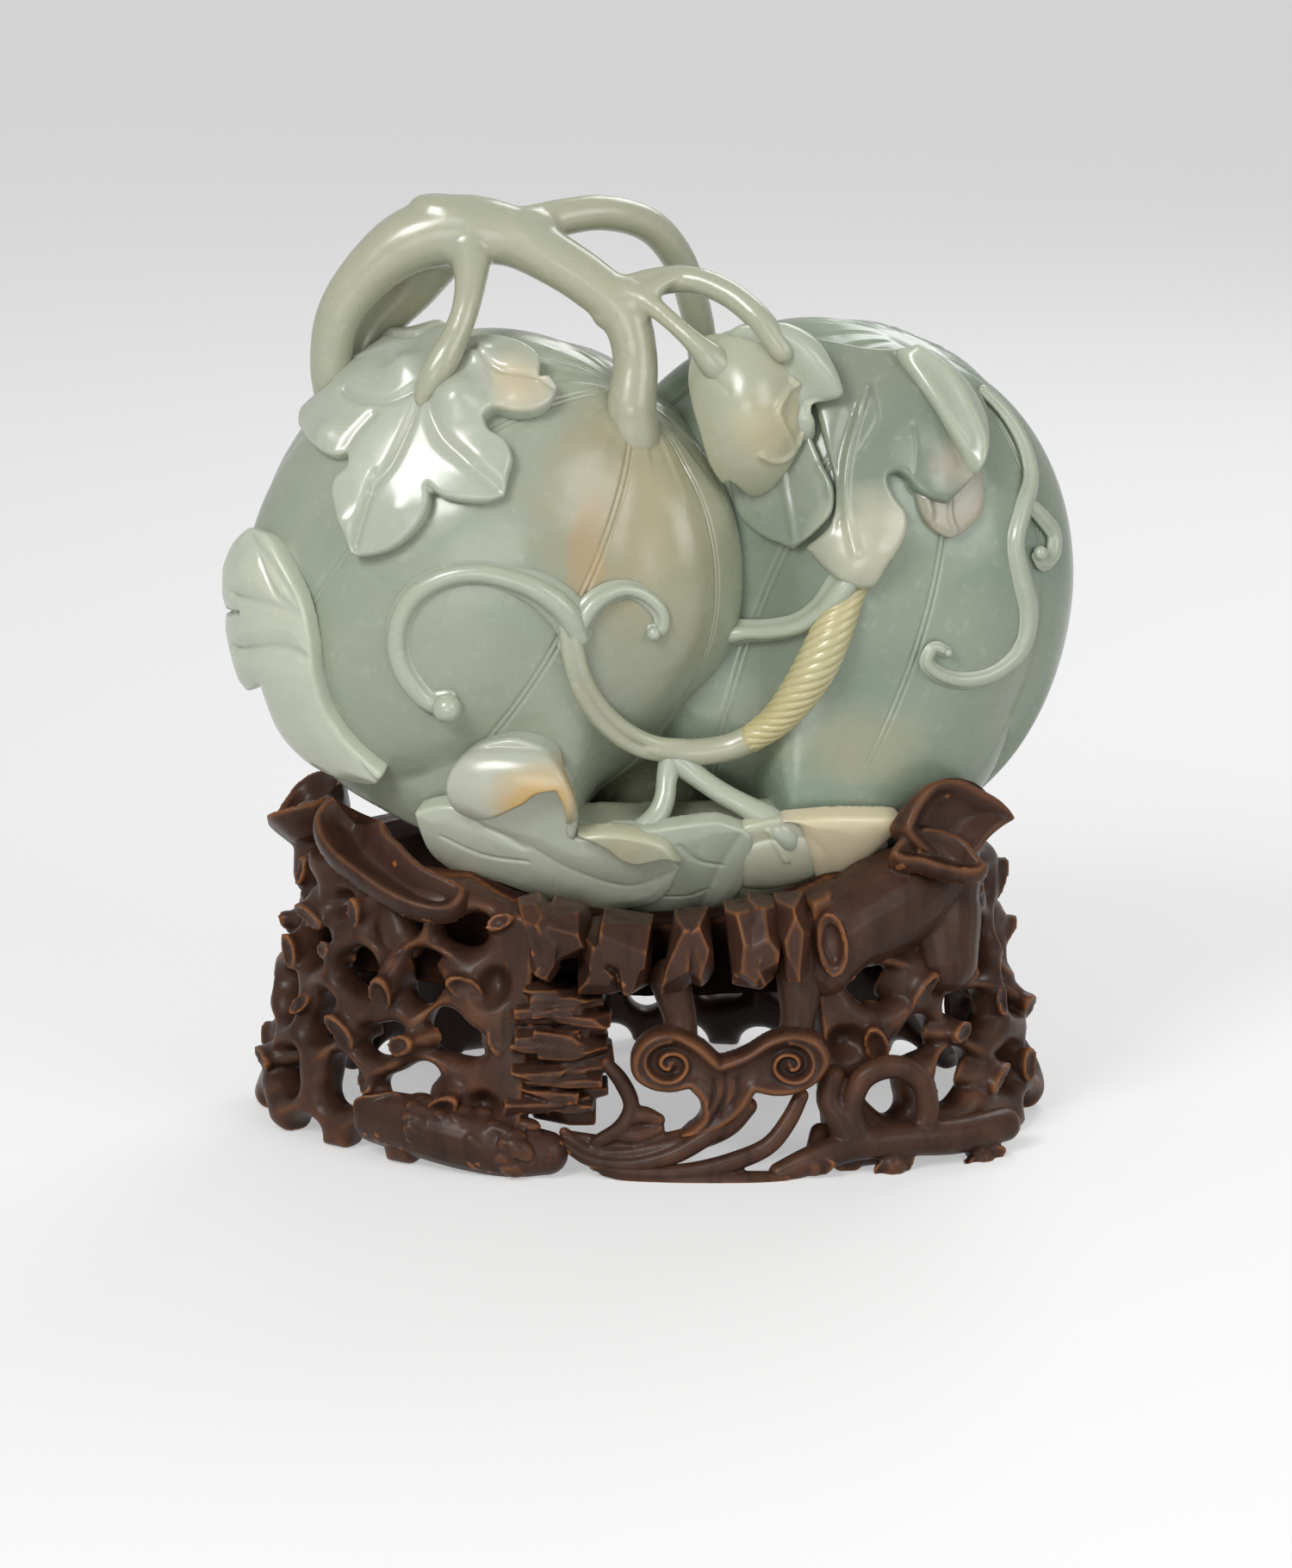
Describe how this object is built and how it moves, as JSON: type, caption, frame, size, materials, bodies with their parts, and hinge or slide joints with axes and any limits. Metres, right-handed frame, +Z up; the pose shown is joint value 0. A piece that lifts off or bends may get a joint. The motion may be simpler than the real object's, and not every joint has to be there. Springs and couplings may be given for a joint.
{
  "type": "jade melon carving on a wood stand",
  "caption": "Green-white jade carved as two melons on a looping vine with leaves and curled tendrils, seated on a pierced dark wood stand with fungus and rock.",
  "frame": {"origin": "middle of the stand's footprint, on the surface it stands on", "axes": "+X to the right and +Y to the back as seen from the front, +Z up"},
  "size_m": [0.1749, 0.1074, 0.1939],
  "materials": {
    "jade": "polished",
    "wood": "waxed"
  },
  "bodies": {
    "stand": {"cradle": "wood", "openwork_left": "wood", "openwork_right": "wood", "openwork_back": "wood", "fungus_front_left": "wood", "fungus_back_left": "wood", "fungus_right_low": "wood", "fungus_right_top": "wood", "trunk_right": "wood", "ledge_rock_1": "wood", "ledge_rock_2": "wood", "ledge_rock_3": "wood", "ledge_rock_4": "wood", "ledge_rock_5": "wood", "rock_column": "wood", "ruyi_fungus": "wood", "ruyi_post_left": "wood", "ruyi_post_right": "wood", "log_front_left": "wood", "ruyi_tail_left": "wood", "ruyi_tail_right": "wood", "root_front_right": "wood"},
    "carving": {"melon_left": "jade", "melon_right": "jade", "leaf_upper_left": "jade", "leaf_left_edge": "jade", "leaf_middle_curled": "jade", "leaf_middle_fold": "jade", "leaf_right_curl": "jade", "leaf_right": "jade", "leaf_middle_lower": "jade", "leaf_bottom_left_curl": "jade", "leaf_bottom_left": "jade", "leaf_bottom_middle": "jade", "leaf_bottom_right": "jade", "stub_bottom": "jade", "fork_left": "jade", "fork_right": "jade", "leaf_behind_fork": "jade", "leaf_bed": "jade", "vine_crown": "jade", "vine_left_arm": "jade", "vine_right_arm": "jade", "vine_back_strand": "jade", "vine_knob": "jade", "vine_loop_front": "jade", "vine_loop_back": "jade", "vine_right_branch": "jade", "petiole_left": "jade", "petiole_middle": "jade", "stem_twisted": "jade", "stem_main": "jade", "stem_cross": "jade", "tendril_large_scroll": "jade", "tendril_small_scroll": "jade", "tendril_right": "jade", "tendril_right_curl": "jade"}
  },
  "joints": [
    {"name": "carving_lift", "type": "slide", "parent": "stand", "child": "carving", "axis": [0, 0, 1], "range_m": [0, 0.08]}
  ]
}
